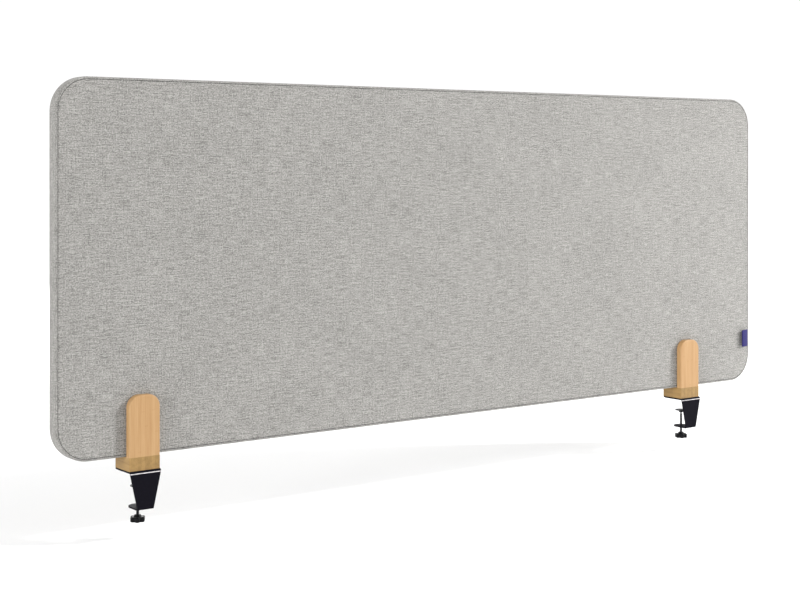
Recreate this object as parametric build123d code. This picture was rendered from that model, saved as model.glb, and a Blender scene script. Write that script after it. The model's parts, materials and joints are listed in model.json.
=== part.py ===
from build123d import *

import math
import os

# Desk divider: an upholstered acoustic panel whose lower edge stands in two bamboo cradles,
# each screwed to a bent steel clamp that grips the edge of a board.
# Millimetres. X runs along the panel, Y from its front to its rear, Z up.
# The origin is midway along the panel, in its middle plane, at the height where the clamps' pads rest.

# Panel, measured over its fabric
panel_length = 1600.0
panel_height = 600.0
panel_thickness = 25.0
panel_corner_radius = 55.0
panel_edge_radius = 3.5
fabric_thickness = 1.0
wadding_thickness = 3.0

# Stitched seam on each face
seam_inset = 4.0
seam_width = 0.8
seam_depth = 0.5
seam_sink = 0.1

# Folded ribbon tag, sewn into the front seam at the panel's right end
tag_reach = 25.0
tag_height = 35.0
tag_lift = 6.0
tag_ply = 0.5
tag_fold_radius = 1.3
tag_seam_radius = 0.7
tag_bottom_above_edge = 71.0

# Bamboo cradle
cradle_width = 54.0
base_height = 21.5
post_thickness = 12.0
post_height = 98.0
post_corner_radius = 20.0
post_edge_radius = 1.8
base_edge_radius = 1.2
panel_clearance = 0.3

# Where the cradles stand, from the panel's ends to their middles
left_cradle_inset = 146.0
right_cradle_inset = 198.0

# Dowels between the posts and the base block
dowel_diameter = 6.0
dowel_spacing = 26.0
dowel_depth_in_base = 12.0
dowel_depth_in_post = 18.0
dowel_chamfer = 0.6

# Countersunk wood screws up through the steel plate into the base block
wood_screw_diameter = 3.5
wood_screw_length = 16.0
wood_screw_head_diameter = 7.0
wood_screw_head_sink = 0.2
wood_screw_tip_length = 4.0
wood_screw_tip_diameter = 0.8
wood_screw_spacing_x = 34.0
wood_screw_spacing_y = 20.0
drive_recess_width = 1.1
drive_recess_length = 3.6
drive_recess_depth = 1.3

# Bent steel clamp
steel_thickness = 2.5
bend_inner_radius = 1.0
plate_corner_radius = 2.0
leg_projection = 3.5
clamp_height = 62.5
flange_width = 29.0
collar_diameter = 8.5
collar_height = 2.0
collar_root_radius = 0.6

# Protective pad under the clamp's top plate
pad_thickness = 1.0
pad_margin = 1.5
pad_corner_radius = 3.0

# Clamp screw and pressure disc
clamp_opening = 24.0
screw_diameter = 5.0
screw_clearance = 0.05
screw_neck_diameter = 3.2
screw_neck_length = 2.5
screw_end_chamfer = 0.5
ball_diameter = 5.0
ball_clearance = 0.05
ball_cover = 1.4
disc_diameter = 24.0
disc_rim_thickness = 1.6
disc_edge_radius = 0.5
disc_boss_diameter = 8.4
disc_boss_height = 4.0
disc_boss_edge_radius = 0.6
socket_mouth_clearance = 0.35

# Star knob
knob_diameter = 25.0
knob_rim_height = 8.5
knob_lobe_radius = 3.9
knob_valley_radius = 2.4
knob_lobes = 6
knob_edge_radius = 1.6
knob_hub_height = 3.0
knob_hub_diameter = 13.0
knob_hub_taper = 1.5
knob_gap_to_flange = 12.0
knob_bore_depth = 9.0

# One overrun serves every cut, and one hair's breadth every pick of an edge by its place
overrun = 1.0
hair = 0.01

# Heights and places that follow from the sizes above
plate_bottom = pad_thickness
plate_top = plate_bottom + steel_thickness
base_top = plate_top + base_height
panel_bottom = base_top + panel_clearance
panel_middle_height = panel_bottom + panel_height / 2
face_y = panel_thickness / 2
post_inner_y = face_y + panel_clearance
post_outer_y = post_inner_y + post_thickness
cradle_depth = 2 * post_outer_y
leg_outer_y = -post_outer_y - leg_projection
leg_inner_y = leg_outer_y + steel_thickness
flange_bottom = plate_top - clamp_height
flange_top = flange_bottom + steel_thickness
bend_outer_radius = bend_inner_radius + steel_thickness
nose_radius = flange_width / 2
disc_top = -clamp_opening
disc_boss_bottom = disc_top - disc_rim_thickness - disc_boss_height
ball_middle = disc_top - ball_cover - ball_diameter / 2
knob_hub_top = flange_bottom - knob_gap_to_flange
knob_rim_top = knob_hub_top - knob_hub_height
knob_bottom = knob_rim_top - knob_rim_height
cradle_places = {
    "left": left_cradle_inset - panel_length / 2,
    "right": panel_length / 2 - right_cradle_inset,
}


def upright_slab(length, height, thickness, corner_radius, middle_y=0):
    """A board standing on edge behind the panel's outline, its own middle at middle_y."""
    outline = Plane.XZ * Pos(0, panel_middle_height) * RectangleRounded(length, height, corner_radius)
    return Pos(0, middle_y, 0) * extrude(outline, amount=thickness / 2, both=True)


def inset_slab(inset, thickness, middle_y=0):
    """The panel's own outline drawn in by inset, at the given thickness."""
    return upright_slab(
        panel_length - 2 * inset,
        panel_height - 2 * inset,
        thickness,
        panel_corner_radius - inset,
        middle_y,
    )


def outline_edges(slab, y):
    """The edges of a slab's outline that lie in the plane at y."""
    return slab.edges().filter_by(Plane.XZ).filter_by_position(Axis.Y, y - hair, y + hair)


def seam_ring(side, sink, depth):
    """The ring that a seam fills in one face; side is -1 for the front and 1 for the rear."""
    middle_y = side * (face_y - sink - depth / 2)
    outer = inset_slab(seam_inset - seam_width / 2, depth, middle_y)
    inner = inset_slab(seam_inset + seam_width / 2, depth + overrun, middle_y)
    return outer - inner


def seam_groove(side):
    """The cut for a seam, open at the face."""
    return seam_ring(side, -overrun, seam_sink + seam_depth + overrun)


def acoustic_core():
    inset = fabric_thickness
    return inset_slab(inset, panel_thickness - 2 * (fabric_thickness + wadding_thickness))


def wadding(side):
    """A soft layer between the core and one face, its outer edge rounded like the panel."""
    outer_y = side * (face_y - fabric_thickness)
    layer = inset_slab(fabric_thickness, wadding_thickness, outer_y - side * wadding_thickness / 2)
    return fillet(outline_edges(layer, outer_y), panel_edge_radius - fabric_thickness)


def face_cover(side):
    """The fabric of one face, out to its seam."""
    cover = inset_slab(seam_inset, fabric_thickness, side * (face_y - fabric_thickness / 2))
    return cover - seam_groove(side)


def edge_band():
    """The strip of fabric that wraps the panel's edge from seam to seam."""
    outside = inset_slab(0, panel_thickness)
    rims = outline_edges(outside, -face_y) + outline_edges(outside, face_y)
    outside = fillet(rims, panel_edge_radius)
    inner_y = face_y - fabric_thickness
    inside = inset_slab(fabric_thickness, 2 * inner_y)
    rims = outline_edges(inside, -inner_y) + outline_edges(inside, inner_y)
    inside = fillet(rims, panel_edge_radius - fabric_thickness)
    window = inset_slab(seam_inset, panel_thickness + overrun)
    return outside - inside - window - seam_groove(-1) - seam_groove(1)


def seam_thread(side):
    return seam_ring(side, seam_sink, seam_depth)


def fabric_tag():
    """A ribbon folded on itself: its two ends are held at the seam, its fold stands off the face."""
    seam_point = Pos(panel_length / 2 - seam_inset, -face_y - tag_seam_radius)
    fold_point = seam_point * Pos(-tag_reach + tag_fold_radius, -tag_lift)
    rounds = seam_point * Circle(tag_seam_radius) + fold_point * Circle(tag_fold_radius)
    hollows = seam_point * Circle(tag_seam_radius - tag_ply) + fold_point * Circle(tag_fold_radius - tag_ply)
    ribbon = make_hull(rounds.edges()) - make_hull(hollows.edges())
    return Pos(0, 0, panel_bottom + tag_bottom_above_edge) * extrude(ribbon, amount=tag_height)


def dowel_places():
    """The middles of the four dowels in plan, two in each post."""
    post_middle_y = post_inner_y + post_thickness / 2
    return [(x, y) for x in (-dowel_spacing / 2, dowel_spacing / 2) for y in (-post_middle_y, post_middle_y)]


def wood_screw_places():
    """The middles of the four wood screws in plan."""
    half_x = wood_screw_spacing_x / 2
    half_y = wood_screw_spacing_y / 2
    return [(x, y) for x in (-half_x, half_x) for y in (-half_y, half_y)]


def dowel():
    length = dowel_depth_in_base + dowel_depth_in_post
    pin = Pos(0, 0, base_top - dowel_depth_in_base + length / 2) * Cylinder(dowel_diameter / 2, length)
    return chamfer(pin.edges().filter_by(GeomType.CIRCLE), dowel_chamfer)


def wood_screw():
    """A countersunk screw that points up, its head sunk a little in the steel plate."""
    head_z = plate_bottom + wood_screw_head_sink
    tip_z = head_z + wood_screw_length
    radius = wood_screw_diameter / 2
    head_radius = wood_screw_head_diameter / 2
    with BuildPart() as screw:
        with BuildSketch(Plane.XZ):
            with BuildLine():
                Polyline(
                    (0, head_z),
                    (head_radius, head_z),
                    (radius, head_z + head_radius - radius),
                    (radius, tip_z - wood_screw_tip_length),
                    (wood_screw_tip_diameter / 2, tip_z),
                    (0, tip_z),
                    close=True,
                )
            make_face()
        revolve(axis=Axis.Z)
    slot = Pos(0, 0, head_z + drive_recess_depth / 2) * Box(
        drive_recess_length, drive_recess_width, drive_recess_depth
    )
    cross = slot + Rot(0, 0, 90) * slot
    return screw.part - cross


def wood_screw_hole():
    """The cut for one wood screw: its cone opens on to the plate's underside."""
    head_z = plate_bottom + wood_screw_head_sink
    head_radius = wood_screw_head_diameter / 2
    mouth = Pos(0, 0, head_z - overrun / 2) * Cylinder(head_radius, overrun)
    radius = wood_screw_diameter / 2
    cone_height = head_radius - radius
    cone = Pos(0, 0, head_z + cone_height / 2) * Cone(head_radius, radius, cone_height)
    tip_z = head_z + wood_screw_length
    shank_top = tip_z - wood_screw_tip_length
    shank_bottom = head_z + cone_height
    shank = Pos(0, 0, (shank_bottom + shank_top) / 2) * Cylinder(radius, shank_top - shank_bottom)
    tip = Pos(0, 0, (shank_top + tip_z) / 2) * Cone(
        radius, wood_screw_tip_diameter / 2, wood_screw_tip_length
    )
    return mouth + cone + shank + tip


def placed(make, places):
    """One copy of a piece at each place in plan."""
    return [Pos(x, y, 0) * make() for x, y in places]


def base_block():
    """The block under the panel, with its grain from front to rear."""
    middle_z = plate_top + base_height / 2
    block = Pos(0, 0, middle_z) * Box(cradle_width, cradle_depth, base_height)
    block = fillet(block.edges().filter_by(Axis.Z), base_edge_radius)
    return block - placed(dowel, dowel_places()) - placed(wood_screw_hole, wood_screw_places())


def post(side):
    """An upright with round shoulders; side is -1 in front of the panel and 1 behind it."""
    face = Plane.XZ * Pos(0, base_top + post_height / 2) * Rectangle(cradle_width, post_height)
    shoulders = face.vertices().group_by(Axis.Z)[-1]
    face = fillet(shoulders, post_corner_radius)
    upright = extrude(face, amount=post_thickness / 2, both=True)
    seat = upright.faces().sort_by(Axis.Z)[0]
    rims = upright.edges().filter_by(Plane.XZ) - seat.edges()
    upright = fillet(rims, post_edge_radius)
    return Pos(0, side * (post_inner_y + post_thickness / 2), 0) * upright - placed(dowel, dowel_places())


def clamp_strip():
    """The bent plate at its full width: top plate, leg and bottom flange, seen from the side."""
    rear_y = post_outer_y
    with BuildPart() as strip:
        with BuildSketch(Plane.YZ) as section:
            with BuildLine():
                Polyline(
                    (rear_y, plate_top),
                    (leg_outer_y, plate_top),
                    (leg_outer_y, flange_bottom),
                    (nose_radius, flange_bottom),
                    (nose_radius, flange_top),
                    (leg_inner_y, flange_top),
                    (leg_inner_y, plate_bottom),
                    (rear_y, plate_bottom),
                    close=True,
                )
            make_face()
            # In the section's own plane the strip's depth runs along X and its height along Y
            for leg_y, radius in ((leg_outer_y, bend_outer_radius), (leg_inner_y, bend_inner_radius)):
                corners = section.vertices().filter_by_position(Axis.X, leg_y - hair, leg_y + hair)
                if len(corners) != 2:
                    raise ValueError("the clamp's section needs one corner at each of its two bends")
                fillet(corners, radius)
        extrude(amount=cradle_width / 2, both=True)
    return strip.part


def clamp_front_outline():
    """The clamp seen from the front: full width above, tapered down the leg, narrow at the flange."""
    half_top = cradle_width / 2
    half_bottom = flange_width / 2
    taper_top = plate_top - bend_outer_radius
    taper_bottom = flange_bottom + bend_outer_radius
    with BuildPart() as outline:
        with BuildSketch(Plane.XZ):
            with BuildLine():
                Polyline(
                    (-half_top, plate_top + overrun),
                    (half_top, plate_top + overrun),
                    (half_top, taper_top),
                    (half_bottom, taper_bottom),
                    (half_bottom, flange_bottom - overrun),
                    (-half_bottom, flange_bottom - overrun),
                    (-half_bottom, taper_bottom),
                    (-half_top, taper_top),
                    close=True,
                )
            make_face()
        extrude(amount=cradle_depth, both=True)
    return outline.part


def steel_clamp():
    """A tapered, twice bent plate; its round-nosed flange carries the threaded collar."""
    clamp = clamp_strip() & clamp_front_outline()
    nose_block = Pos(0, nose_radius / 2 + overrun / 2, (flange_bottom + flange_top) / 2) * Box(
        flange_width + overrun, nose_radius + overrun, steel_thickness + overrun
    )
    nose_round = Pos(0, 0, (flange_bottom + flange_top) / 2) * Cylinder(
        nose_radius, steel_thickness + 2 * overrun
    )
    clamp -= nose_block - nose_round
    rear_corners = clamp.edges().filter_by(Axis.Z).group_by(Axis.Y)[-1]
    clamp = fillet(rear_corners, plate_corner_radius)
    collar = Pos(0, 0, flange_bottom - collar_height / 2) * Cylinder(collar_diameter / 2, collar_height)
    clamp += collar
    root = clamp.edges().filter_by(GeomType.CIRCLE).filter_by_position(
        Axis.Z, flange_bottom - hair, flange_bottom + hair
    )
    root = [edge for edge in root if abs(edge.radius - collar_diameter / 2) < hair]
    clamp = fillet(root, collar_root_radius)
    bore_height = steel_thickness + collar_height
    bore = Pos(0, 0, flange_top - bore_height / 2) * Cylinder(
        screw_diameter / 2 + screw_clearance, bore_height + 2 * overrun
    )
    return clamp - bore - placed(wood_screw_hole, wood_screw_places())


def desk_pad():
    """A thin pad glued under the top plate, from the leg's bend to the rear."""
    front_y = leg_inner_y + bend_inner_radius
    rear_y = post_outer_y - pad_margin
    outline = Pos(0, (front_y + rear_y) / 2) * RectangleRounded(
        cradle_width - 2 * pad_margin, rear_y - front_y, pad_corner_radius
    )
    return extrude(outline, amount=pad_thickness)


def pressure_disc():
    """A disc with a socket for the screw's ball; its flat top is the clamp's moving face."""
    rim_radius = disc_diameter / 2
    boss_radius = disc_boss_diameter / 2
    rim_bottom = disc_top - disc_rim_thickness
    with BuildPart() as disc:
        with BuildSketch(Plane.XZ):
            with BuildLine():
                Polyline(
                    (0, disc_top),
                    (rim_radius, disc_top),
                    (rim_radius, rim_bottom),
                    (boss_radius, rim_bottom),
                    (boss_radius, disc_boss_bottom),
                    (0, disc_boss_bottom),
                    close=True,
                )
            make_face()
        revolve(axis=Axis.Z)
        rings = disc.edges().filter_by(GeomType.CIRCLE)
        rim = [edge for edge in rings if abs(edge.radius - rim_radius) < hair]
        fillet(rim, disc_edge_radius)
        rings = disc.edges().filter_by(GeomType.CIRCLE)
        boss = [edge for edge in rings if abs(edge.radius - boss_radius) < hair]
        fillet(boss, disc_boss_edge_radius)
    socket = Pos(0, 0, ball_middle) * Sphere(ball_diameter / 2 + ball_clearance)
    mouth_radius = screw_neck_diameter / 2 + socket_mouth_clearance
    mouth_height = ball_middle - disc_boss_bottom
    mouth = Pos(0, 0, disc_boss_bottom + mouth_height / 2 - overrun / 2) * Cylinder(
        mouth_radius, mouth_height + overrun
    )
    return disc.part - socket - mouth


def clamp_screw():
    """The screw from its ball end, through the collar, into the knob."""
    radius = screw_diameter / 2
    neck_radius = screw_neck_diameter / 2
    ball_radius = ball_diameter / 2
    neck_bottom = ball_middle - ball_radius - screw_neck_length
    bottom = knob_hub_top - knob_bore_depth
    shank_height = neck_bottom - bottom
    shank = Pos(0, 0, bottom + shank_height / 2) * Cylinder(radius, shank_height)
    shank = chamfer(shank.edges().group_by(Axis.Z)[-1], screw_end_chamfer)
    neck_height = ball_middle - neck_bottom
    neck = Pos(0, 0, neck_bottom + neck_height / 2) * Cylinder(neck_radius, neck_height)
    return shank + neck + Pos(0, 0, ball_middle) * Sphere(ball_radius)


def star_outline():
    """Round lobes joined by round valleys, all tangent."""
    tip_radius = knob_diameter / 2
    lobe_circle = tip_radius - knob_lobe_radius
    half_turn = math.pi / knob_lobes
    reach = knob_lobe_radius + knob_valley_radius
    valley_circle = lobe_circle * math.cos(half_turn) + math.sqrt(
        reach**2 - (lobe_circle * math.sin(half_turn)) ** 2
    )

    def at(radius, angle):
        return Vector(radius * math.cos(angle), radius * math.sin(angle))

    share_to_tangent = knob_lobe_radius / reach
    with BuildSketch() as star:
        with BuildLine():
            for lobe in range(knob_lobes):
                angle = 2 * half_turn * lobe
                middle = at(lobe_circle, angle)
                before = middle + (at(valley_circle, angle - half_turn) - middle) * share_to_tangent
                after = middle + (at(valley_circle, angle + half_turn) - middle) * share_to_tangent
                next_middle = at(lobe_circle, angle + 2 * half_turn)
                valley_middle = at(valley_circle, angle + half_turn)
                next_before = next_middle + (valley_middle - next_middle) * share_to_tangent
                ThreePointArc(before, at(tip_radius, angle), after)
                valley_bottom = at(valley_circle - knob_valley_radius, angle + half_turn)
                ThreePointArc(after, valley_bottom, next_before)
        make_face()
    return star.sketch


def star_knob():
    """A hand knob with round lobes, round valleys and a tapered hub above."""
    rim = Pos(0, 0, knob_bottom) * extrude(star_outline(), amount=knob_rim_height)
    rim = fillet(rim.edges().filter_by(Plane.XY), knob_edge_radius)
    hub_radius = knob_hub_diameter / 2
    hub = Pos(0, 0, knob_rim_top + knob_hub_height / 2) * Cone(
        hub_radius, hub_radius - knob_hub_taper, knob_hub_height
    )
    bore = Pos(0, 0, knob_hub_top - knob_bore_depth / 2 + overrun / 2) * Cylinder(
        screw_diameter / 2, knob_bore_depth + overrun
    )
    return rim + hub - bore


def save(name, shape):
    export_step(shape, f"parts/{name}.step")


def save_panel():
    save("acoustic_core", acoustic_core())
    save("edge_band", edge_band())
    save("fabric_tag", fabric_tag())
    for word, side in (("front", -1), ("rear", 1)):
        save(f"{word}_wadding", wadding(side))
        save(f"{word}_cover", face_cover(side))
        save(f"{word}_seam_thread", seam_thread(side))


def save_cradle(word, place_x):
    """All pieces of one bracket, moved along the panel to its place."""
    pieces = {
        "base_block": base_block(),
        "front_post": post(-1),
        "rear_post": post(1),
        "dowels": Compound(children=placed(dowel, dowel_places())),
        "wood_screws": Compound(children=placed(wood_screw, wood_screw_places())),
        "steel_clamp": steel_clamp(),
        "desk_pad": desk_pad(),
        "pressure_disc": pressure_disc(),
        "clamp_screw": clamp_screw(),
        "star_knob": star_knob(),
    }
    for name, shape in pieces.items():
        save(f"{word}_{name}", Pos(place_x, 0, 0) * shape)


os.makedirs("parts", exist_ok=True)
save_panel()
for cradle_word, cradle_x in cradle_places.items():
    save_cradle(cradle_word, cradle_x)
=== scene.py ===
"""Desk divider screen: a padded fabric panel in two bamboo cradles, each on a bent steel clamp.

The fixed model gives the sizes and places. Each operator models or finishes one group of pieces.
Metres. X runs along the panel, its front faces -Y and Z is up. The clamps' pads rest at Z = 0.
"""
import json
import math

import bmesh
import bpy
from bpy.props import FloatProperty, FloatVectorProperty, IntProperty, PointerProperty
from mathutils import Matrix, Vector

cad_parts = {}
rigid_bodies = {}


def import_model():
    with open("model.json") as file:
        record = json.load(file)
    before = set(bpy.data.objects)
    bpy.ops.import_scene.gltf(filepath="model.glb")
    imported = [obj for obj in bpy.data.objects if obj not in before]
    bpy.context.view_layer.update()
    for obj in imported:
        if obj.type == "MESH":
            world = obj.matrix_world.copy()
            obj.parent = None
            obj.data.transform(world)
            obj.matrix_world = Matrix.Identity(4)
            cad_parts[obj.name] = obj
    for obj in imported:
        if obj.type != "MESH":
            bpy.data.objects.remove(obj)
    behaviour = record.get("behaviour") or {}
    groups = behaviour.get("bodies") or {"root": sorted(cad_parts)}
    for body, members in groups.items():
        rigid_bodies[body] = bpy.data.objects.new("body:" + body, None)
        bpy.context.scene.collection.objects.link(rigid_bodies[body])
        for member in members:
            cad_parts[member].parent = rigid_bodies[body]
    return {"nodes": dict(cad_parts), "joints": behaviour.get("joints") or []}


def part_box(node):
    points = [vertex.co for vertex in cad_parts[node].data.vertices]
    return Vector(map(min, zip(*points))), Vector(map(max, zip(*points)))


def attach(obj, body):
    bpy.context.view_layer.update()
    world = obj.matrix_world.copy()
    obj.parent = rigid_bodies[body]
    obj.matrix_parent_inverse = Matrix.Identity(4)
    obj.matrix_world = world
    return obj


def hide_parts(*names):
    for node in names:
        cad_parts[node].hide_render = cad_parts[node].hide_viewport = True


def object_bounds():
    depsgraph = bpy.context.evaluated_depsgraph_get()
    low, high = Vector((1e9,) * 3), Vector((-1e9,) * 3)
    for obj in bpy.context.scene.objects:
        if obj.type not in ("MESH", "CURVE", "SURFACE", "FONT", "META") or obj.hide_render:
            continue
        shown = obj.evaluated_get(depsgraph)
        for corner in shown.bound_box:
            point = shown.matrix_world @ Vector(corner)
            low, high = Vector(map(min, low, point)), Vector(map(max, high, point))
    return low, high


bl_info = {
    "name": "Desk divider screen",
    "version": (1, 0, 0),
    "blender": (4, 5, 0),
    "location": "View3D > Sidebar > Divider",
    "description": "Models the cloth, seams, ribbon and screws of a desk divider, and finishes it",
    "category": "Add Mesh",
}

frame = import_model()
CAD_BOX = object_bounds()

MM = 0.001
SIDES = ("left", "right")
FACES = {"front": -1, "rear": 1}
WEAVE_MAP = "weave"

# Sizes that the fixed model settles
PANEL_LOW, PANEL_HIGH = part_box("edge_band")
TAG_LOW, TAG_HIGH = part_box("fabric_tag")
PANEL_SIZE = PANEL_HIGH - PANEL_LOW
PANEL_MIDDLE = (PANEL_LOW + PANEL_HIGH) / 2
SEAM_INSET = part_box("front_cover")[0].x - PANEL_LOW.x
TAG_WIDTH = TAG_HIGH.z - TAG_LOW.z
CLAMP_BEND = 3.5 * MM

# Rings of the felt from its rim to its face: how far inwards, and how far out
FELT_RIM_RADIUS = 1.0 * MM
FELT_RINGS = ((1.2 * MM, -0.5 * MM), (1.6 * MM, 0), (1.2 * MM, 0.35 * MM), (5 * MM, 0.12 * MM))

# Rings of the band from its rim to the seam: share of the way in, and of the seam's depth
BAND_RINGS = ((0.4, -0.3), (0.6, -0.7))

# Rings of a cover from the seam to its face: how far inwards, and share of the seam's depth
COVER_RISE = 0.35 * MM
COVER_RINGS = ((COVER_RISE, 0.5), (2 * COVER_RISE, 0.35), (5 * COVER_RISE, 0.15), (12 * MM, 0))

# Faces round each quarter of the boards' corners, and of the seams'
BOARD_CORNER_STEPS = 24
SEAM_CORNER_STEPS = 32

# Faces round one stitch, and along it
STITCH_SIDES = 6
STITCH_RINGS = 4

# The ribbon's ends lie in the seam, and its plies part from there to the fold
RIBBON_END_INSET = 0.7 * MM
RIBBON_END_DEPTH = 0.4 * MM
RIBBON_END_GAP = 0.3 * MM
RIBBON_EDGE_RADIUS = 0.12 * MM
RIBBON_PLACES = (0, 0.12, 0.3, 0.5, 0.7, 0.88, 1)
RIBBON_FOLD_STEPS = 8

# The clamp screws' thread, and the neck that leads to the ball: it widens to a foot just above
# the thread, and the foot sinks into the thread's end
THREAD_FLANK = math.radians(30)
NECK_RADIUS = 1.6 * MM
NECK_LENGTH = 2.5 * MM
NECK_FILLET = 0.3 * MM
NECK_SINK = 0.1 * MM
BALL_STEPS = 12
NECK_TURN_STEPS = 32

# Points nearer to each other than these are merged, and CUT_SNAP is the same for a flat cut
MERGE_FINE = 1e-6
MERGE_TURNED = 5e-6
MERGE_RIBBON = 1e-5
CUT_SNAP = 1e-7

# The painted highlight: a pale line that stands for the light caught by the clamps' bend. How far
# it lies under the bend, how high it is, and how deep it reaches into the leg's outer side
HIGHLIGHT_LINE_DROP = 0.4 * MM
HIGHLIGHT_LINE_WIDTH = 1.4 * MM
HIGHLIGHT_LINE_REACH = 1 * MM
PAINTED_HIGHLIGHT_COLOUR = "d6d2d4"

# Sizes of the patterns in the finishes, and the shares of a strip's width and of the way
# between two joints that a dark line takes up
HEATHER_LENGTH = 2.4 * MM
CLOUD_SIZE = (150 * MM, 90 * MM)
THREAD_PLY = 0.5 * MM
RIB_PITCH = 0.5 * MM
RIBBON_SLUB = (4 * MM, 4 * MM, 0.6 * MM)
FELT_TUFT = 3 * MM
BAMBOO_FIBRE = (0.9 * MM, 0.9 * MM, 45 * MM)
BAMBOO_STREAK = (7 * MM, 7 * MM, 90 * MM)
BAMBOO_JOINT_SPACING = 190 * MM
GLUE_LINE_SHARE = 0.06
JOINT_SHARE = 0.006
BEECH_FLECK = (0.5 * MM, 0.5 * MM, 6 * MM)
WEAR_PATCH = 9 * MM

# The floor, and the heights between which the world's white horizon turns softer, as sines
FLOOR_SIZE = 60
FLOOR_GAP = 1 * MM
FLOOR_PATCH = 0.9
HORIZON_TOP = 0.12
OVERHEAD_START = 0.35
HORIZON_STRENGTH = 1.03

# The colour inputs and output of a Mix node, by place, because their names are used three times
MIX_FACTOR, MIX_A, MIX_B, MIX_COLOUR = 0, 6, 7, 2


def linear(hex_colour):
    """An sRGB hex colour as linear red, green and blue."""
    parts = [int(hex_colour[at : at + 2], 16) / 255 for at in (0, 2, 4)]
    return [part / 12.92 if part <= 0.04045 else ((part + 0.055) / 1.055) ** 2.4 for part in parts]


def length(name, description, default):
    """A size in metres."""
    return FloatProperty(
        name=name, description=description, default=default, subtype="DISTANCE", unit="LENGTH"
    )


def colour(name, description, hex_colour):
    """A colour, from its sRGB hex value."""
    return FloatVectorProperty(
        name=name,
        description=description,
        default=linear(hex_colour),
        size=3,
        min=0,
        max=1,
        subtype="COLOR",
    )


def angle(name, description, default):
    """An angle in radians."""
    return FloatProperty(name=name, description=description, default=default, subtype="ANGLE")


def amount(name, description, default):
    """A strength of zero or more."""
    return FloatProperty(name=name, description=description, default=default, min=0)


class DividerPanel(bpy.types.PropertyGroup):
    """Sizes of the padded panel, its seams and its ribbon."""

    corner_radius: length("Corner radius", "Radius of the panel's four corners", 55 * MM)
    rim_radius: length("Rim radius", "Radius between the edge band and the faces", 3.5 * MM)
    cloth_thickness: length("Cloth", "Thickness of the woven cloth", 1.0 * MM)
    seam_depth: length("Seam depth", "How far the seam draws the cloth in", 0.7 * MM)
    stitch_pitch: length("Stitch pitch", "From one stitch to the next", 3.4 * MM)
    stitch_length: length("Stitch length", "Length of one stitch", 3.6 * MM)
    stitch_width: length("Stitch width", "Width of the thread, pressed flat", 1.2 * MM)
    stitch_height: length("Stitch height", "Thickness of the thread, pressed flat", 0.5 * MM)
    ribbon_ply: length("Ribbon", "Thickness of the ribbon", 0.5 * MM)
    ribbon_fold: length("Ribbon fold", "Radius of the ribbon's fold, to its middle line", 1.05 * MM)
    ribbon_bow: length("Ribbon bow", "How far the ribbon's outer ply bows out", 0.9 * MM)


class DividerFabric(bpy.types.PropertyGroup):
    """Colours and yarn sizes of the cloth."""

    dark_yarn: colour("Dark yarn", "Darkest fibres of the melange", "6c6b68")
    light_yarn: colour("Light yarn", "Lightest fibres of the melange", "a8a6a2")
    thread_pitch: length("Thread pitch", "From one thread of the weave to the next", 1.2 * MM)
    slub_length: length("Slub length", "Length of a thick place in the weft", 28 * MM)
    slub_width: length("Slub width", "Width of a thick place in the weft", 1.9 * MM)
    # Dark partly as painted shade: the stitching's colour also stands for the shade in the seam's
    # groove
    stitching_and_seam_shade: colour("Stitching", "Seam thread", "242322")
    ribbon: colour("Ribbon", "Ribbon of the folded tag", "2e2969")


class DividerBrackets(bpy.types.PropertyGroup):
    """Finishes and thread sizes of the two brackets."""

    bamboo_light: colour("Bamboo", "Clear bamboo of the posts", "b39166")
    bamboo_dark: colour("Bamboo fibres", "Darker fibres and joints of the posts", "997146")
    base_light: colour("Base bamboo", "Clear bamboo of the base blocks", "9d7e4c")
    base_dark: colour("Base fibres", "Fibre ends of the base blocks", "6e532b")
    strip_width: length("Strip width", "Width of one pressed bamboo strip", 6 * MM)
    coat: colour("Powder coat", "Coat of the steel clamps", "0d0c12")
    thread_pitch: length("Screw pitch", "Pitch of the clamp screw's thread", 0.8 * MM)
    thread_depth: length("Thread depth", "From the thread's crest to its root", 0.49 * MM)
    thread_steps: IntProperty(
        name="Thread steps", description="Faces round the clamp screw", default=24, min=8
    )


class DividerStage(bpy.types.PropertyGroup):
    """Camera and light."""

    camera_place: FloatVectorProperty(
        name="Camera",
        description="Where the camera stands",
        default=(-1.7959, -2.2233, 0.4916),
        subtype="TRANSLATION",
    )
    camera_turn: angle("Turn", "From straight at the front towards the right", math.radians(36.84))
    lens: FloatProperty(
        name="Lens", description="Focal length in millimetres", default=69.41, min=1
    )
    shift: FloatProperty(
        name="Shift", description="How far the level view is lowered", default=-0.1724
    )
    ambient: amount("Ambient", "Strength of the light from overhead", 0.66)
    key_strength: amount("Key light", "Watts per square metre from the upper right", 2.3)
    key_angle: angle("Key angle", "How wide the key light looks", math.radians(5))
    fill_power: amount("Fill light", "Watts of the soft light at the right", 28)
    fill_width: length("Fill width", "Width of the soft light at the right", 1.2)
    side_strength: amount("Side light", "Watts per square metre from the left", 2.05)
    side_angle: angle("Side angle", "How wide the side light looks", math.radians(24))
    rear_power: amount("Rear light", "Watts of the soft light behind", 110)
    rear_width: length("Rear width", "Width of the soft light behind", 3.0)


def add(tree, kind, inputs=(), **settings):
    """Add one node with its settings; its inputs take values, sockets, or nodes' first outputs."""
    node = tree.nodes.new(kind)
    for name, value in settings.items():
        setattr(node, name, value)
    for name, value in dict(inputs).items():
        if isinstance(value, bpy.types.Node):
            value = next(socket for socket in value.outputs if socket.enabled)
        if isinstance(value, bpy.types.NodeSocket):
            tree.links.new(value, node.inputs[name])
        else:
            node.inputs[name].default_value = value
    return node


def new_material(name, **values):
    """A material with its shader's single values set; gives it with its tree and shader."""
    material = bpy.data.materials.new(name)
    material.use_nodes = True
    shader = material.node_tree.nodes["Principled BSDF"]
    for socket, value in values.items():
        shader.inputs[socket.replace("_", " ")].default_value = value
    return material, material.node_tree, shader


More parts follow.
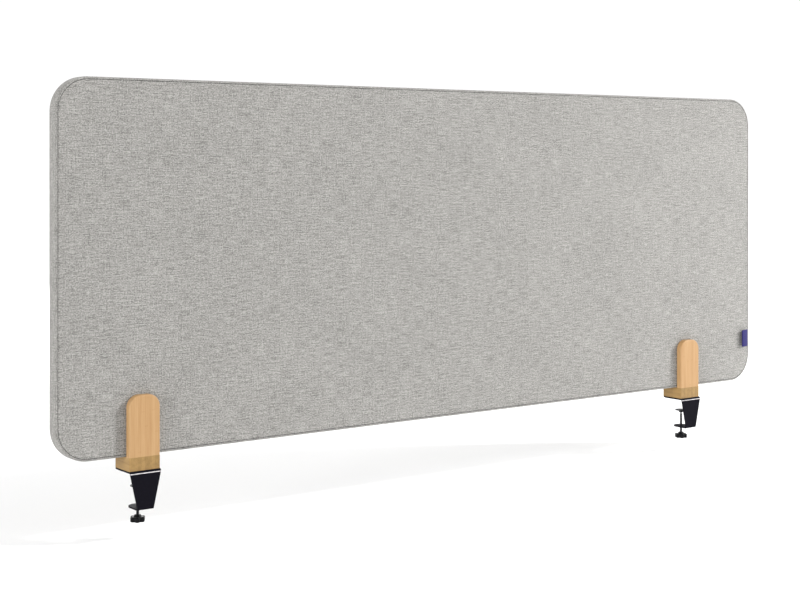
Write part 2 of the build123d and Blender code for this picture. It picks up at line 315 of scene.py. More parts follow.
def surface(tree, shader, tone, dark, light, height, relief, strength=1):
    """Colour the shader from dark to light by tone, and raise it by height, up to relief metres."""
    colours = {MIX_FACTOR: tone, MIX_A: (*dark, 1), MIX_B: (*light, 1)}
    mix = add(tree, "ShaderNodeMix", colours, data_type="RGBA")
    bump = add(tree, "ShaderNodeBump", {"Height": height, "Distance": relief, "Strength": strength})
    tree.links.new(mix.outputs[MIX_COLOUR], shader.inputs["Base Color"])
    tree.links.new(bump.outputs["Normal"], shader.inputs["Normal"])
    return mix


def lumps(tree, place, sizes, detail=2):
    """Noise whose lumps have the given sizes in metres along the three axes."""
    scale = [1 / size for size in sizes]
    mapping = add(tree, "ShaderNodeMapping", {"Vector": place, "Scale": scale})
    noise = {"Vector": mapping, "Scale": 1, "Detail": detail, "Roughness": 0.55}
    return add(tree, "ShaderNodeTexNoise", noise)


def weighted(tree, middle, *parts, clamp=False):
    """middle, plus each pattern's distance from one half times its weight."""
    total = middle
    for pattern, weight in parts:
        centred = add(tree, "ShaderNodeMath", {0: pattern, 1: 0.5}, operation="SUBTRACT")
        terms = {0: centred, 1: weight, 2: total}
        total = add(tree, "ShaderNodeMath", terms, operation="MULTIPLY_ADD", use_clamp=clamp)
    return total


def woven_melange():
    """Polyester cloth in plain weave from melange yarn: matt, with thick places along the weft.

    The threads are drawn 1.2 mm apart, about twice as coarse as real ones, so that they show.
    """
    looks = bpy.context.scene.divider_fabric
    slub_length, slub_width = looks.slub_length, looks.slub_width
    material, tree, shader = new_material(
        "woven_melange_polyester",
        Roughness=0.92,
        Specular_IOR_Level=0.25,
        Sheen_Weight=0.12,
        Sheen_Roughness=0.5,
    )
    place = add(tree, "ShaderNodeUVMap", uv_map=WEAVE_MAP).outputs["UV"]
    weft = lumps(tree, place, (slub_length, slub_width, 1), detail=1)
    short_weft = lumps(tree, place, (slub_length / 4, slub_width * 0.8, 1), detail=1)
    warp = lumps(tree, place, (slub_width, slub_length, 1), detail=1)
    heather = lumps(tree, place, (HEATHER_LENGTH, slub_width, 1), detail=1)
    cloud = lumps(tree, place, (*CLOUD_SIZE, 1), detail=1)
    slubs = ((weft, 1.2), (short_weft, 1.0), (warp, 0.6))
    tone = weighted(tree, 0.5, *slubs, (heather, 2.2), (cloud, 0.2))

    # Plain weave: each thread is a round ridge that is on top in every second field
    split = add(tree, "ShaderNodeSeparateXYZ", {"Vector": place})
    waves, ridges = [], []
    for axis in ("X", "Y"):
        per_thread = {0: split.outputs[axis], 1: math.pi / looks.thread_pitch}
        turns = add(tree, "ShaderNodeMath", per_thread, operation="MULTIPLY")
        waves.append(add(tree, "ShaderNodeMath", {0: turns}, operation="SINE"))
        ridges.append(add(tree, "ShaderNodeMath", {0: waves[-1]}, operation="ABSOLUTE"))
    # The two waves' signs change from thread to thread, and their product's from field to field
    signs = add(tree, "ShaderNodeMath", {0: waves[0], 1: waves[1]}, operation="MULTIPLY")
    on_top = add(tree, "ShaderNodeMath", {0: signs, 1: 0}, operation="GREATER_THAN")
    height = add(tree, "ShaderNodeMix", {0: on_top, 2: ridges[0], 3: ridges[1]}, data_type="FLOAT")
    fuzzy = weighted(tree, height, (heather, 1.2), (weft, 0.8))
    surface(tree, shader, tone, looks.dark_yarn, looks.light_yarn, fuzzy, 0.35 * MM, strength=0.6)
    return material


def sewing_thread():
    """Spun polyester thread: matt, with the fine twist of its plies."""
    looks = bpy.context.scene.divider_fabric
    material, tree, shader = new_material(
        "spun_polyester_thread", Roughness=0.7, Specular_IOR_Level=0.3
    )
    place = add(tree, "ShaderNodeTexCoord").outputs["Object"]
    plies = lumps(tree, place, (THREAD_PLY, THREAD_PLY, THREAD_PLY))
    # The thread's near-black colour is partly its own and partly painted shade of the seam's groove
    dark = [part * 0.7 for part in looks.stitching_and_seam_shade]
    surface(tree, shader, plies, dark, looks.stitching_and_seam_shade, plies, 0.08 * MM)
    return material


def satin_ribbon():
    """Woven polyester satin: a soft lustre, and fine cross ribs 0.5 mm apart."""
    looks = bpy.context.scene.divider_fabric
    material, tree, shader = new_material(
        "polyester_satin_ribbon", Roughness=0.6, Specular_IOR_Level=0.12
    )
    place = add(tree, "ShaderNodeTexCoord").outputs["Object"]
    up = add(tree, "ShaderNodeSeparateXYZ", {"Vector": place}).outputs["Z"]
    turns = add(tree, "ShaderNodeMath", {0: up, 1: 2 * math.pi / RIB_PITCH}, operation="MULTIPLY")
    ribs = add(tree, "ShaderNodeMath", {0: turns}, operation="SINE")
    slubs = lumps(tree, place, RIBBON_SLUB)
    dark = [part * 0.6 for part in looks.ribbon]
    ribbed = weighted(tree, ribs, (slubs, 1.5))
    surface(tree, shader, slubs, dark, looks.ribbon, ribbed, 0.05 * MM)
    return material


def polyester_felt(name, light, dark):
    """Needled or pressed polyester fibre: quite matt, with fine lumps 3 mm across."""
    material, tree, shader = new_material(name, Roughness=0.95, Specular_IOR_Level=0.2)
    place = add(tree, "ShaderNodeTexCoord").outputs["Object"]
    tufts = lumps(tree, place, (FELT_TUFT, FELT_TUFT, FELT_TUFT), detail=4)
    surface(tree, shader, tufts, linear(dark), linear(light), tufts, 0.6 * MM)
    return material


def pressed_bamboo(name, light, dark, grain_turn):
    """Bamboo strips, pressed and oiled: long fibres, a tone for each strip, and dark joints."""
    looks = bpy.context.scene.divider_brackets
    material, tree, shader = new_material(name, Roughness=0.5, Specular_IOR_Level=0.35)
    # The pattern's own Z lies along the grain
    unturned = add(tree, "ShaderNodeTexCoord").outputs["Object"]
    place = add(tree, "ShaderNodeMapping", {"Vector": unturned, "Rotation": grain_turn})
    split = add(tree, "ShaderNodeSeparateXYZ", {"Vector": place})
    strip_widths = {0: split.outputs["X"], 1: looks.strip_width}
    strip = add(tree, "ShaderNodeMath", strip_widths, operation="DIVIDE")
    number = add(tree, "ShaderNodeMath", {0: strip}, operation="FLOOR")
    strip_tone = add(tree, "ShaderNodeTexWhiteNoise", {"W": number}, noise_dimensions="1D")
    # A glue line shows over the first hundredths of a strip
    across = add(tree, "ShaderNodeMath", {0: strip}, operation="FRACT")
    line = {0: across, 1: 0.0, 2: GLUE_LINE_SHARE}
    glue_line = add(tree, "ShaderNodeMath", line, operation="COMPARE")
    fibres = lumps(tree, place, BAMBOO_FIBRE, detail=3)
    broad = lumps(tree, place, BAMBOO_STREAK, detail=1)
    # Every strip's joints lie at heights of their own
    run = {0: split.outputs["Z"], 1: 1 / BAMBOO_JOINT_SPACING, 2: strip_tone.outputs["Value"]}
    joint_run = add(tree, "ShaderNodeMath", run, operation="MULTIPLY_ADD")
    to_joint = add(tree, "ShaderNodeMath", {0: joint_run}, operation="FRACT")
    joint = add(tree, "ShaderNodeMath", {0: to_joint, 1: 0.5, 2: JOINT_SHARE}, operation="COMPARE")
    wood = ((fibres, 1.1), (broad, 0.6), (strip_tone, 0.28))
    tone = weighted(tree, 0.5, *wood, (glue_line, -0.12), (joint, -0.12), clamp=True)
    grooved = weighted(tree, fibres, (glue_line, -0.5))
    surface(tree, shader, tone, dark, light, grooved, 0.05 * MM)
    return material


def grain_and_wear(tree, place, grain):
    """Fine grains of the given size, soft patches of wear, and the tone that both give."""
    grains = lumps(tree, place, (grain, grain, grain))
    wear = lumps(tree, place, (WEAR_PATCH, WEAR_PATCH, WEAR_PATCH))
    return grains, wear, weighted(tree, 0.5, (grains, 0.8), (wear, 0.6))


def speckled(name, light, dark, grain, relief, **values):
    """A moulded or plated surface whose grain has the given size in metres."""
    material, tree, shader = new_material(name, **values)
    place = add(tree, "ShaderNodeTexCoord").outputs["Object"]
    grains, _wear, tone = grain_and_wear(tree, place, grain)
    surface(tree, shader, tone, linear(dark), linear(light), grains, relief)
    return material


def powder_coated_steel():
    """Steel under a baked polyester powder coat: near black, satin, with orange peel 0.7 mm across.

    A pale line across the leg just under the upper bend is a painted highlight: it stands for the
    light that the bend catches.
    """
    coat = bpy.context.scene.divider_brackets.coat
    material, tree, shader = new_material(
        "powder_coated_steel", Roughness=0.55, Specular_IOR_Level=0.03
    )
    place = add(tree, "ShaderNodeTexCoord").outputs["Object"]
    peel, wear_and_highlight_patches, tone = grain_and_wear(tree, place, 0.7 * MM)
    coated = surface(tree, shader, tone, coat, [part * 1.6 for part in coat], peel, 0.02 * MM)

    # The painted highlight lies just below where the bend runs into the leg, outer side only
    low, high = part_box("left_steel_clamp")
    split = add(tree, "ShaderNodeSeparateXYZ", {"Vector": place})
    line_height = high.z - CLAMP_BEND - HIGHLIGHT_LINE_DROP
    line = {0: split.outputs["Z"], 1: line_height, 2: HIGHLIGHT_LINE_WIDTH / 2}
    on_line = add(tree, "ShaderNodeMath", line, operation="COMPARE")
    front = {0: split.outputs["Y"], 1: low.y + HIGHLIGHT_LINE_REACH}
    on_front = add(tree, "ShaderNodeMath", front, operation="LESS_THAN")
    painted_highlight = add(tree, "ShaderNodeMath", {0: on_line, 1: on_front}, operation="MULTIPLY")
    # The coat's wear patches break the painted highlight up unevenly
    patchy_highlight = {0: painted_highlight, 1: weighted(tree, 0.85, (wear_and_highlight_patches, 1.2))}
    highlight_mix = {
        MIX_FACTOR: add(tree, "ShaderNodeMath", patchy_highlight, operation="MULTIPLY", use_clamp=True),
        MIX_A: coated.outputs[MIX_COLOUR],
        MIX_B: (*linear(PAINTED_HIGHLIGHT_COLOUR), 1),
    }
    mix = add(tree, "ShaderNodeMix", highlight_mix, data_type="RGBA")
    tree.links.new(mix.outputs[MIX_COLOUR], shader.inputs["Base Color"])
    return material


def moulded_nylon():
    """Glass-filled nylon of the knobs: black, eroded mould texture 0.3 mm across."""
    return speckled(
        "moulded_nylon",
        light="101013",
        dark="070709",
        grain=0.3 * MM,
        relief=0.02 * MM,
        Roughness=0.4,
        Specular_IOR_Level=0.1,
    )


def moulded_polypropylene():
    """Polypropylene of the pressure discs: black, a little waxy."""
    return speckled(
        "moulded_polypropylene",
        light="19181c",
        dark="0e0e11",
        grain=0.5 * MM,
        relief=0.01 * MM,
        Roughness=0.5,
        Specular_IOR_Level=0.25,
    )


def nitrile_rubber():
    """Nitrile rubber of the pads under the clamps' top plates: matt black, finely pitted."""
    return speckled(
        "nitrile_rubber",
        light="1a1a1b",
        dark="0d0d0e",
        grain=0.4 * MM,
        relief=0.05 * MM,
        Roughness=0.85,
        Specular_IOR_Level=0.2,
    )


def blackened_steel():
    """Chemically blackened screw steel: dark grey metal with an oily satin shine."""
    return speckled(
        "blackened_steel",
        light="4a494d",
        dark="2c2b2f",
        grain=0.4 * MM,
        relief=0.005 * MM,
        Metallic=1.0,
        Roughness=0.34,
    )


def zinc_plated_steel():
    """Zinc-plated screw steel: bright bluish grey metal, a little dull."""
    return speckled(
        "zinc_plated_steel",
        light="c9cdd1",
        dark="a8adb2",
        grain=0.5 * MM,
        relief=0.004 * MM,
        Metallic=1.0,
        Roughness=0.3,
    )


def turned_beech():
    """Beech dowel rod: pinkish tan, with short dark flecks along the grain."""
    material, tree, shader = new_material("turned_beech", Roughness=0.6, Specular_IOR_Level=0.3)
    flecks = lumps(tree, add(tree, "ShaderNodeTexCoord").outputs["Object"], BEECH_FLECK, detail=3)
    surface(tree, shader, flecks, linear("b58a63"), linear("d9b791"), flecks, 0.04 * MM)
    return material


def pick_only(piece):
    """Make a piece the only selected object, in object mode."""
    if bpy.context.object and bpy.context.object.mode == "EDIT":
        bpy.ops.object.mode_set(mode="OBJECT")
    bpy.ops.object.select_all(action="DESELECT")
    if piece:
        piece.select_set(True)
        bpy.context.view_layer.objects.active = piece


def named(name):
    """Name the new active object, and put its place, turn and scale into its mesh."""
    piece = bpy.context.object
    piece.name = piece.data.name = name
    bpy.ops.object.transform_apply(location=True, rotation=True, scale=True)
    return piece


def pick_parts(kind, test):
    """In edit mode, select only the faces or edges that pass the test."""
    bpy.ops.mesh.select_mode(type={"faces": "FACE", "edges": "EDGE"}[kind])
    bpy.ops.mesh.select_all(action="DESELECT")
    mesh = bmesh.from_edit_mesh(bpy.context.object.data)
    for part in getattr(mesh, kind):
        if test(part):
            part.select_set(True)
    bmesh.update_edit_mesh(bpy.context.object.data)


def split_off(name):
    """Split the selected faces off, as a piece of their own."""
    before = set(bpy.data.objects)
    bpy.ops.mesh.separate(type="SELECTED")
    (piece,) = set(bpy.data.objects) - before
    piece.name = piece.data.name = name
    return piece


def inset_rings(steps):
    """Inset the selected faces ring by ring, each one so far inwards and so far out."""
    for inwards, out in steps:
        bpy.ops.mesh.inset(thickness=inwards, depth=out)


def start_line(name, first):
    """A new mesh of one vertex, left in edit mode with it selected."""
    pick_only(None)
    bpy.ops.mesh.primitive_plane_add(size=MM, location=first)
    piece = named(name)
    bpy.ops.object.mode_set(mode="EDIT")
    bpy.ops.mesh.select_mode(type="VERT")
    bpy.ops.mesh.select_all(action="SELECT")
    bpy.ops.mesh.merge(type="CENTER")
    return piece


def extrude_through(points):
    """Extrude the selected vertices through these points, from the first one."""
    for start, end in zip(points, points[1:]):
        step = Vector(end) - Vector(start)
        bpy.ops.mesh.extrude_vertices_move(TRANSFORM_OT_translate={"value": step})


def with_modifier(piece, kind, **settings):
    """Add a modifier to a piece and apply it."""
    pick_only(piece)
    modifier = piece.modifiers.new(kind.lower(), kind)
    for name, value in settings.items():
        setattr(modifier, name, value)
    bpy.ops.object.modifier_apply(modifier=modifier.name)


def clean_shell(piece, distance=MERGE_FINE):
    """Merge doubled vertices and turn all faces outwards."""
    pick_only(piece)
    bpy.ops.object.mode_set(mode="EDIT")
    bpy.ops.mesh.select_all(action="SELECT")
    bpy.ops.mesh.remove_doubles(threshold=distance)
    bpy.ops.mesh.normals_make_consistent(inside=False)
    bpy.ops.object.mode_set(mode="OBJECT")


def finish_piece(piece, body, slot, material, *nodes, smooth=40):
    """Give a new piece its finish and its body, and let it stand for the nodes that it replaces.

    Edges that turn by more than smooth degrees stay sharp.
    """
    pick_only(piece)
    bpy.ops.object.transform_apply(location=True, rotation=True, scale=True)
    bpy.ops.object.shade_smooth_by_angle(angle=math.radians(smooth))
    piece.data.materials.clear()
    piece.data.materials.append(material)
    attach(piece, body)
    if nodes:
        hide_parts(*nodes)


def finish_nodes(names, material):
    """Put a finish on parts whose own shape is kept."""
    for name in names:
        for slot in frame["nodes"][name].material_slots:
            slot.material = material


def rounded_board(name, middle, size, corner_radius, rim_radius, rim_steps=5):
    """A board standing on edge, with round corners and rolled rims, left in edit mode."""

    def crosswise(edge):
        return abs((edge.verts[0].co - edge.verts[1].co).y) > size.y / 2

    pick_only(None)
    bpy.ops.mesh.primitive_cube_add(size=1, location=middle, scale=size)
    board = named(name)
    bpy.ops.object.mode_set(mode="EDIT")
    pick_parts("edges", crosswise)
    bpy.ops.mesh.bevel(offset=corner_radius, segments=BOARD_CORNER_STEPS, affect="EDGES")
    pick_parts("edges", lambda edge: not crosswise(edge))
    bpy.ops.mesh.bevel(offset=rim_radius, segments=rim_steps, affect="EDGES")
    return board


def on_face(*sides):
    """A test for a board's large faces on the given sides, which all have many corners."""

    def test(face):
        return len(face.verts) > BOARD_CORNER_STEPS and round(face.normal.y) in sides

    return test


def along_outline(x, z, corner_radius):
    """How far along the panel's outline x, z lies, how far inside it, and the outline's length.

    The outline is run along from the top middle, first to the right.
    """
    half_x, half_z = PANEL_SIZE.x / 2, PANEL_SIZE.z / 2
    run_x, run_z = half_x - corner_radius, half_z - corner_radius
    quarter = run_x + corner_radius * math.pi / 2 + run_z
    x, z = x - PANEL_MIDDLE.x, z - PANEL_MIDDLE.z
    over_x, over_z = abs(x) - run_x, abs(z) - run_z
    if over_x > 0 and over_z > 0:
        run = run_x + corner_radius * (math.pi / 2 - math.atan2(over_z, over_x))
        inwards = corner_radius - math.hypot(over_x, over_z)
    elif over_x > over_z:
        run = quarter - abs(z)
        inwards = half_x - abs(x)
    else:
        run = abs(x)
        inwards = half_z - abs(z)
    if x >= 0:
        run = run if z >= 0 else 2 * quarter - run
    else:
        run = 2 * quarter + run if z < 0 else 4 * quarter - run
    return run, inwards, 4 * quarter


def lay_weave(piece, place_of):
    """Give a cloth piece a UV map in metres, along the weft and across it."""
    layer = piece.data.uv_layers.new(name=WEAVE_MAP)
    for face in piece.data.polygons:
        for loop, vertex in zip(face.loop_indices, face.vertices):
            layer.data[loop].uv = place_of(piece.data.vertices[vertex].co, face.center)


def cover_place(point, _middle):
    """Along the panel and up it."""
    return point.x, point.z


def band_place(point, middle):
    """Along the strip and across it, without a jump inside a face."""
    radius = bpy.context.scene.divider_panel.corner_radius
    run, inwards, whole = along_outline(point.x, point.z, radius)
    middle_run = along_outline(middle.x, middle.z, radius)[0]
    run += whole * round((middle_run - run) / whole)
    return run, math.copysign(abs(point.y) + inwards, point.y)


class DIVIDER_OT_stage(bpy.types.Operator):
    """Pale floor, even light, a key light, soft lights on both sides and behind, and the camera"""

    bl_idname = "divider.stage"
    bl_label = "Stage and camera"

    def execute(self, context):
        stage = context.scene.divider_stage
        context.scene.view_settings.view_transform = "Standard"

        camera = bpy.data.objects.new("camera", bpy.data.cameras.new("camera"))
        camera.location = stage.camera_place
        camera.rotation_euler = (math.pi / 2, 0, -stage.camera_turn)
        camera.data.lens = stage.lens
        camera.data.shift_y = stage.shift
        context.scene.collection.objects.link(camera)
        context.scene.camera = camera

        world = bpy.data.worlds.new("even_light")
        context.scene.world = world
        world.use_nodes = True
        tree = world.node_tree
        # White all round the horizon, and softer overhead
        direction = add(tree, "ShaderNodeTexCoord").outputs["Generated"]
        up = add(tree, "ShaderNodeSeparateXYZ", {"Vector": direction}).outputs["Z"]
        heights = {"Value": up, "From Min": HORIZON_TOP, "From Max": OVERHEAD_START}
        strengths = {"To Min": HORIZON_STRENGTH, "To Max": stage.ambient}
        strength = add(
            tree, "ShaderNodeMapRange", heights | strengths, interpolation_type="SMOOTHSTEP"
        )
        tree.links.new(strength.outputs["Result"], tree.nodes["Background"].inputs["Strength"])
        tree.nodes["Background"].inputs["Color"].default_value = (1, 1, 1, 1)

        # Each lamp's way and distance from the panel's middle. For each 1 that a part stands off
        # the panel, the key throws its shadow 1.6 to the left and 1.12 down
        for name, kind, energy, width, way, distance in (
            ("key_light", "SUN", stage.key_strength, stage.key_angle, (1.6, -1.0, 1.12), 4.0),
            ("fill_light", "AREA", stage.fill_power, stage.fill_width, (1.5, -1.0, 0.35), 2.6),
            ("side_light", "SUN", stage.side_strength, stage.side_angle, (-1.0, -0.25, 0.22), 3.4),
            ("rear_light", "AREA", stage.rear_power, stage.rear_width, (0.4, 1.0, 0.5), 4.5),
        ):
            lamp = bpy.data.lights.new(name, kind)
            lamp.energy = energy
            setattr(lamp, "angle" if kind == "SUN" else "size", width)
            towards = Vector(way).normalized()
            holder = bpy.data.objects.new(name, lamp)
            holder.location = PANEL_MIDDLE + towards * distance
            holder.rotation_euler = towards.to_track_quat("Z", "Y").to_euler()
            context.scene.collection.objects.link(holder)

        # The floor lies just under the lowest place that the clamp screws reach
        travels = [joint for joint in frame["joints"] if joint["name"].endswith("pad_travel")]
        lowest = CAD_BOX[0].z + min(joint["range_m"][0] for joint in travels)
        pick_only(None)
        bpy.ops.mesh.primitive_plane_add(size=FLOOR_SIZE, location=(0, 0, lowest - FLOOR_GAP))
        floor = named("floor")
        material, tree, shader = new_material(
            "matt_white_floor", Roughness=0.9, Specular_IOR_Level=0.1
        )
        place = add(tree, "ShaderNodeTexCoord").outputs["Object"]
        patches = lumps(tree, place, (FLOOR_PATCH, FLOOR_PATCH, FLOOR_PATCH))
        surface(tree, shader, patches, linear("f8f8f8"), linear("fafafa"), patches, 0.2 * MM)
        floor.data.materials.append(material)
        return {"FINISHED"}


class DIVIDER_OT_waddings(bpy.types.Operator):
    """The two felt layers, drawn in at their rims by the seams"""

    bl_idname = "divider.waddings"
    bl_label = "Waddings"

    def execute(self, context):
        sizes = context.scene.divider_panel
        felt = polyester_felt("needled_polyester_felt", "e6e3dc", "d2cec5")
        for word, side in FACES.items():
            node = f"{word}_wadding"
            low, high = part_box(node)
            middle, size = (low + high) / 2, high - low
            radius = sizes.corner_radius - (low.x - PANEL_LOW.x)
            pad = rounded_board(f"{node}_pad", middle, size, radius, FELT_RIM_RADIUS, rim_steps=3)
            # The seam presses the felt's rim down, and the face rises from it again
            pick_parts("faces", on_face(side))
            inset_rings(FELT_RINGS)
            finish_piece(pad, "panel", "felt_wadding", felt, node)
        finish_nodes(["acoustic_core"], polyester_felt("pressed_fibre_board", "8f908e", "7b7c7a"))
        return {"FINISHED"}


class DIVIDER_OT_cloth(bpy.types.Operator):
    """Front cover, rear cover and edge band, drawn in where their seams join them"""

    bl_idname = "divider.cloth"
    bl_label = "Covers and edge band"

    def execute(self, context):
        sizes = context.scene.divider_panel
        depth = sizes.seam_depth
        cloth = woven_melange()
        band = rounded_board(
            "edge_band_cloth", PANEL_MIDDLE, PANEL_SIZE, sizes.corner_radius, sizes.rim_radius
        )
        # From the rolled rim the band dips to the seam; each cover rises from it to the face
        fall = SEAM_INSET - sizes.rim_radius
        pick_parts("faces", on_face(*FACES.values()))
        inset_rings([(inwards * fall, out * depth) for inwards, out in BAND_RINGS])
        covers = {}
        for word, side in FACES.items():
            pick_parts("faces", on_face(side))
            covers[word] = split_off(f"{word}_cover_cloth")
        for word, cover in covers.items():
            pick_only(cover)
            bpy.ops.object.mode_set(mode="EDIT")
            bpy.ops.mesh.select_all(action="SELECT")
            inset_rings([(inwards, out * depth) for inwards, out in COVER_RINGS])
            bpy.ops.object.mode_set(mode="OBJECT")
            lay_weave(cover, cover_place)
            with_modifier(cover, "SOLIDIFY", thickness=sizes.cloth_thickness, offset=-1)
            finish_piece(cover, "panel", "melange_fabric", cloth, f"{word}_cover")
        pick_only(band)
        lay_weave(band, band_place)
        with_modifier(band, "SOLIDIFY", thickness=sizes.cloth_thickness, offset=-1)
        finish_piece(band, "panel", "melange_fabric", cloth, "edge_band")
        return {"FINISHED"}


class DIVIDER_OT_seam_stitches(bpy.types.Operator):
    """One stitch, repeated along each seam"""

    bl_idname = "divider.seam_stitches"
    bl_label = "Seam stitches"

    def execute(self, context):
        sizes = context.scene.divider_panel
        thread = sewing_thread()
        size_x, size_z = PANEL_SIZE.x - 2 * SEAM_INSET, PANEL_SIZE.z - 2 * SEAM_INSET
        radius = sizes.corner_radius - SEAM_INSET
        # Each round corner is shorter than the square one by two radii less a quarter turn
        run = 2 * (size_x + size_z) - 4 * (2 * radius - radius * math.pi / 2)
        count = round(run / sizes.stitch_pitch)
        for word, side in FACES.items():
            # The seam's path is drawn lying down, and the finished seam is stood up
            pick_only(None)
            bpy.ops.mesh.primitive_plane_add(size=1)
            bpy.context.object.scale = (size_x, size_z, 1)
            named(f"{word}_seam_path")
            bpy.ops.object.mode_set(mode="EDIT")
            bpy.ops.mesh.select_all(action="SELECT")
            bpy.ops.mesh.bevel(offset=radius, segments=SEAM_CORNER_STEPS, affect="VERTICES")
            bpy.ops.mesh.delete(type="ONLY_FACE")
            bpy.ops.object.mode_set(mode="OBJECT")
            bpy.ops.object.convert(target="CURVE")
            path = bpy.context.object

            pick_only(None)
            bpy.ops.mesh.primitive_uv_sphere_add(
                segments=STITCH_SIDES,
                ring_count=STITCH_RINGS,
                radius=0.5,
                rotation=(0, math.pi / 2, 0),
            )
            stitch = named(f"{word}_seam_stitches")
            # Each stitch is longer than the pitch, so the dark thread runs unbroken and also stands
            # for the seam's shade
            stitch.scale = (sizes.stitch_length, sizes.stitch_width, sizes.stitch_height)
            stitch.location = (sizes.stitch_length / 2, 0, 0)
            bpy.ops.object.transform_apply(location=True, rotation=True, scale=True)
            with_modifier(
                stitch,
                "ARRAY",
                count=count,
                use_relative_offset=False,
                use_constant_offset=True,
                constant_offset_displace=(run / count, 0, 0),
            )
            with_modifier(stitch, "CURVE", object=path)
            bpy.data.objects.remove(path)
            stitch.rotation_euler = (math.pi / 2, 0, 0)
            # The thread lies a third of the way down the seam's dip
            out = PANEL_SIZE.y / 2 - sizes.seam_depth / 3
            stitch.location = PANEL_MIDDLE + Vector((0, side * out, 0))
            finish_piece(stitch, "panel", "seam_thread", thread, f"{word}_seam_thread", smooth=60)
        return {"FINISHED"}


class DIVIDER_OT_ribbon_tag(bpy.types.Operator):
    """The bare ribbon, folded on itself, both its ends sewn into the front seam"""

    bl_idname = "divider.ribbon_tag"
    bl_label = "Ribbon tag"

    def execute(self, context):
        sizes = context.scene.divider_panel
        fold, ply = sizes.ribbon_fold, sizes.ribbon_ply
        seam = Vector((TAG_HIGH.x - RIBBON_END_INSET, PANEL_LOW.y + RIBBON_END_DEPTH, TAG_LOW.z))
        reach = fold + ply / 2
        fold_middle = Vector((TAG_LOW.x + reach, TAG_LOW.y + reach, TAG_LOW.z))
        towards_fold = (fold_middle - seam).normalized()
        outwards = Vector((towards_fold.y, -towards_fold.x, 0))
        if outwards.y > 0:
            outwards = -outwards
        # The inner ply runs to the fold, half a turn leads round it, and the outer ply bows back
        inner, outer = [], []
        for place in RIBBON_PLACES:
            bow = outwards * sizes.ribbon_bow * math.sin(math.pi * place)
            gap = outwards * (RIBBON_END_GAP + (fold - RIBBON_END_GAP) * place)
            inner.append(seam.lerp(fold_middle, place) - gap + 0.5 * bow)
            outer.append(seam.lerp(fold_middle, place) + gap + bow)
        piece = start_line("ribbon_tag", inner[0])
        extrude_through(inner)
        turn = []
        for step in range(1, RIBBON_FOLD_STEPS + 1):
            turned = math.pi * step / RIBBON_FOLD_STEPS
            spoke = towards_fold * math.sin(turned) - outwards * math.cos(turned)
            turn.append(fold_middle + fold * spoke)
        extrude_through([inner[-1], *turn, *reversed(outer[:-1])])
        bpy.ops.mesh.select_all(action="SELECT")
        bpy.ops.mesh.extrude_edges_move(TRANSFORM_OT_translate={"value": (0, 0, TAG_WIDTH)})
        bpy.ops.object.mode_set(mode="OBJECT")
        clean_shell(piece, MERGE_RIBBON)
        with_modifier(piece, "SOLIDIFY", thickness=ply, offset=0)
        with_modifier(
            piece,
            "BEVEL",
            width=RIBBON_EDGE_RADIUS,
            segments=2,
            limit_method="ANGLE",
            angle_limit=math.radians(60),
        )
        finish_piece(piece, "panel", "blue_ribbon", satin_ribbon(), "fabric_tag")
        return {"FINISHED"}


class DIVIDER_OT_cradles(bpy.types.Operator):
    """Bamboo finish on the posts and base blocks, and beech on the dowels inside them"""

    bl_idname = "divider.cradles"
    bl_label = "Bamboo cradles"

    def execute(self, context):
        looks = context.scene.divider_brackets
        upright = pressed_bamboo(
            "oiled_bamboo_upright", looks.bamboo_light, looks.bamboo_dark, grain_turn=(0, 0, 0)
        )
        crosswise = pressed_bamboo(
            "oiled_bamboo_crosswise",
            looks.base_light,
            looks.base_dark,
            grain_turn=(math.pi / 2, 0, 0),
        )
        finish_nodes([f"{side}_{face}_post" for side in SIDES for face in FACES], upright)
        finish_nodes([f"{side}_base_block" for side in SIDES], crosswise)
        finish_nodes([f"{side}_dowels" for side in SIDES], turned_beech())
        return {"FINISHED"}


class DIVIDER_OT_clamps(bpy.types.Operator):
    """Powder coat on the steel clamps, and the finishes of the pads, discs, knobs and screws"""

    bl_idname = "divider.clamps"
    bl_label = "Steel clamps"

    def execute(self, context):
        for part, material in (
            ("steel_clamp", powder_coated_steel()),
            ("desk_pad", nitrile_rubber()),
            ("pressure_disc", moulded_polypropylene()),
            ("star_knob", moulded_nylon()),
            ("wood_screws", zinc_plated_steel()),
        ):
            finish_nodes([f"{side}_{part}" for side in SIDES], material)
        return {"FINISHED"}


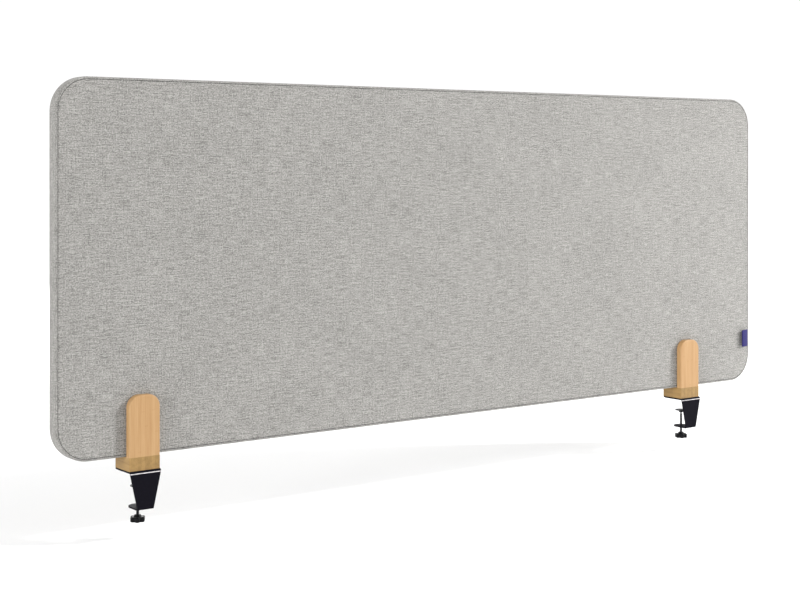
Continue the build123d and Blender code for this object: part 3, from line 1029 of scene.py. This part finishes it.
class DIVIDER_OT_clamp_screws(bpy.types.Operator):
    """Two clamp screws with a real thread, a turned neck and a ball end"""

    bl_idname = "divider.clamp_screws"
    bl_label = "Clamp screws"

    def execute(self, context):
        sizes = context.scene.divider_brackets
        steel = blackened_steel()
        for side in SIDES:
            node = f"{side}_clamp_screw"
            low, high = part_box(node)
            middle = (low + high) / 2
            crest = (high.x - low.x) / 2
            ball_middle = high.z - crest
            thread_top = ball_middle - crest - NECK_LENGTH
            screw = self.thread(node, crest, low.z, thread_top, sizes)
            end = self.ball_end(node, crest, ball_middle, thread_top, sizes)
            pick_only(end)
            screw.select_set(True)
            bpy.context.view_layer.objects.active = screw
            bpy.ops.object.join()
            screw.location = (middle.x, middle.y, 0)
            finish_piece(screw, f"{side}_screw", "black_screw_steel", steel, node, smooth=35)
        return {"FINISHED"}

    def thread(self, node, crest, bottom, top, sizes):
        """The threaded shank about the Z axis, cut flat at both ends."""
        pitch = sizes.thread_pitch
        root = crest - sizes.thread_depth
        flank = sizes.thread_depth * math.tan(THREAD_FLANK)
        crest_flat = pitch / 8
        root_flat = pitch - 2 * flank - crest_flat
        # Two turns more at each end, which are cut off, and half a step lower, so that neither cut
        # runs through a row of the thread's own points
        start = bottom - 2 * pitch - pitch / sizes.thread_steps / 2
        rise = root_flat + flank
        heights = (0, root_flat, rise, rise + crest_flat, pitch)
        radii = (root, root, crest, crest, root)
        profile = [(radius, 0, start + height) for radius, height in zip(radii, heights)]
        screw = start_line(f"{node}_threaded", profile[0])
        extrude_through(profile)
        bpy.ops.object.mode_set(mode="OBJECT")
        with_modifier(
            screw,
            "SCREW",
            angle=2 * math.pi,
            screw_offset=pitch,
            iterations=math.ceil((top - bottom) / pitch) + 4,
            steps=sizes.thread_steps,
            render_steps=sizes.thread_steps,
        )
        clean_shell(screw, MERGE_TURNED)
        bpy.ops.object.mode_set(mode="EDIT")
        for height, upwards in ((top, 1), (bottom, -1)):
            bpy.ops.mesh.select_all(action="SELECT")
            bpy.ops.mesh.bisect(
                plane_co=(0, 0, height),
                plane_no=(0, 0, upwards),
                use_fill=True,
                clear_outer=True,
                threshold=CUT_SNAP,
            )
        bpy.ops.object.mode_set(mode="OBJECT")
        clean_shell(screw)
        return screw

    def ball_end(self, node, ball_radius, ball_middle, thread_top, sizes):
        """The ball and its neck, turned about the Z axis; the neck's foot sinks into the thread."""
        root = ball_radius - sizes.thread_depth
        neck_angle = math.asin(NECK_RADIUS / ball_radius)
        profile = []
        for step in range(BALL_STEPS + 1):
            turned = (math.pi - neck_angle) * step / BALL_STEPS
            height = ball_middle + ball_radius * math.cos(turned)
            profile.append((ball_radius * math.sin(turned), 0, height))
        foot = thread_top - NECK_SINK
        profile += [(NECK_RADIUS, 0, thread_top + NECK_FILLET), (root, 0, foot), (0, 0, foot)]
        end = start_line(f"{node}_end", profile[0])
        extrude_through(profile)
        bpy.ops.mesh.select_all(action="SELECT")
        bpy.ops.mesh.spin(
            steps=NECK_TURN_STEPS, angle=2 * math.pi, center=(0, 0, 0), axis=(0, 0, 1)
        )
        bpy.ops.object.mode_set(mode="OBJECT")
        clean_shell(end, MERGE_TURNED)
        return end


class DIVIDER_PT_pieces(bpy.types.Panel):
    """Lists the steps that build and finish the divider"""

    bl_idname = "DIVIDER_PT_pieces"
    bl_label = "Desk divider"
    bl_space_type = "VIEW_3D"
    bl_region_type = "UI"
    bl_category = "Divider"

    def draw(self, context):
        for group in GROUPS:
            box = self.layout.box()
            for name in GROUPS[group].__annotations__:
                box.prop(getattr(context.scene, group), name)
        for step in STEPS:
            self.layout.operator(step.bl_idname)


GROUPS = {
    "divider_panel": DividerPanel,
    "divider_fabric": DividerFabric,
    "divider_brackets": DividerBrackets,
    "divider_stage": DividerStage,
}
STEPS = (
    DIVIDER_OT_stage,
    DIVIDER_OT_waddings,
    DIVIDER_OT_cloth,
    DIVIDER_OT_seam_stitches,
    DIVIDER_OT_ribbon_tag,
    DIVIDER_OT_cradles,
    DIVIDER_OT_clamps,
    DIVIDER_OT_clamp_screws,
)


def register():
    for kind in (*GROUPS.values(), *STEPS, DIVIDER_PT_pieces):
        bpy.utils.register_class(kind)
    for name, group in GROUPS.items():
        setattr(bpy.types.Scene, name, PointerProperty(type=group))


def unregister():
    for name in GROUPS:
        delattr(bpy.types.Scene, name)
    for kind in reversed((*GROUPS.values(), *STEPS, DIVIDER_PT_pieces)):
        bpy.utils.unregister_class(kind)


def main():
    register()
    for step in STEPS:
        category, name = step.bl_idname.split(".")
        getattr(getattr(bpy.ops, category), name)()


if __name__ == "__main__":
    main()
